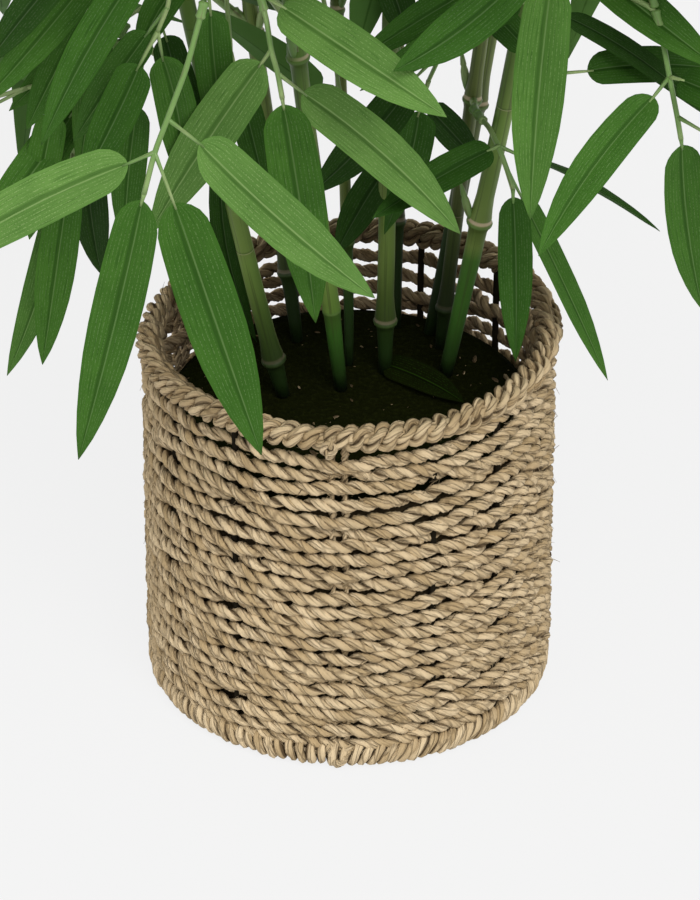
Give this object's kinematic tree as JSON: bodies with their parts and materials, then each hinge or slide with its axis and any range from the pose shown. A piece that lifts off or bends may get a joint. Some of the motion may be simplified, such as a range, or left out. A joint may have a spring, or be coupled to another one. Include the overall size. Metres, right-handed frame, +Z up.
{
  "type": "potted artificial bamboo",
  "caption": "Artificial bamboo with ringed canes and drooping sprays of long leaves, standing in a round basket woven from twisted seagrass cord.",
  "frame": {"origin": "centre of the basket's flat underside, where it stands on the floor", "axes": "+Z up along the canes, -Y towards the viewer of the picture, +X to the viewer's right"},
  "size_m": [0.7247, 0.7154, 1.2147],
  "materials": {
    "seagrass": "dry twisted seagrass cord, matte, with loose fibres",
    "rim_rope": "seagrass cord wrapped round a coil, matte",
    "filling": "dark, slightly rough weighted filling in a black liner",
    "cane": "moulded, satin, with fine lengthwise streaks and pale rings",
    "twig": "moulded, satin",
    "leaf": "printed woven cloth, satin, with pale dashed veins"
  },
  "bodies": {
    "root": {"basket_wall": "seagrass", "basket_rim": "rim_rope", "filled_inner_pot": "filling", "cane_01": "cane", "cane_02": "cane", "cane_03": "cane", "cane_04": "cane", "cane_05": "cane", "cane_06": "cane", "cane_07": "cane", "cane_08": "cane", "cane_09": "cane", "bough_01": "twig", "bough_02": "twig", "bough_03": "twig", "bough_04": "twig", "bough_05": "twig", "bough_06": "twig", "bough_07": "twig", "bough_08": "twig", "bough_09": "twig", "bough_10": "twig", "bough_11": "twig", "bough_12": "twig", "bough_13": "twig", "bough_14": "twig", "bough_15": "twig", "bough_16": "twig", "bough_17": "twig", "bough_18": "twig", "bough_19": "twig", "foliage_01": "leaf", "foliage_02": "leaf", "foliage_03": "leaf", "foliage_04": "leaf", "foliage_05": "leaf", "foliage_06": "leaf", "foliage_07": "leaf", "foliage_08": "leaf", "foliage_09": "leaf", "foliage_10": "leaf", "foliage_11": "leaf", "foliage_12": "leaf", "foliage_13": "leaf", "foliage_14": "leaf", "foliage_15": "leaf", "foliage_16": "leaf", "foliage_17": "leaf", "foliage_18": "leaf", "foliage_19": "leaf", "foliage_20": "leaf", "foliage_21": "leaf", "foliage_22": "leaf", "foliage_23": "leaf", "foliage_24": "leaf", "foliage_25": "leaf", "foliage_26": "leaf", "foliage_27": "leaf", "foliage_28": "leaf", "foliage_29": "leaf"}
  },
  "joints": []
}
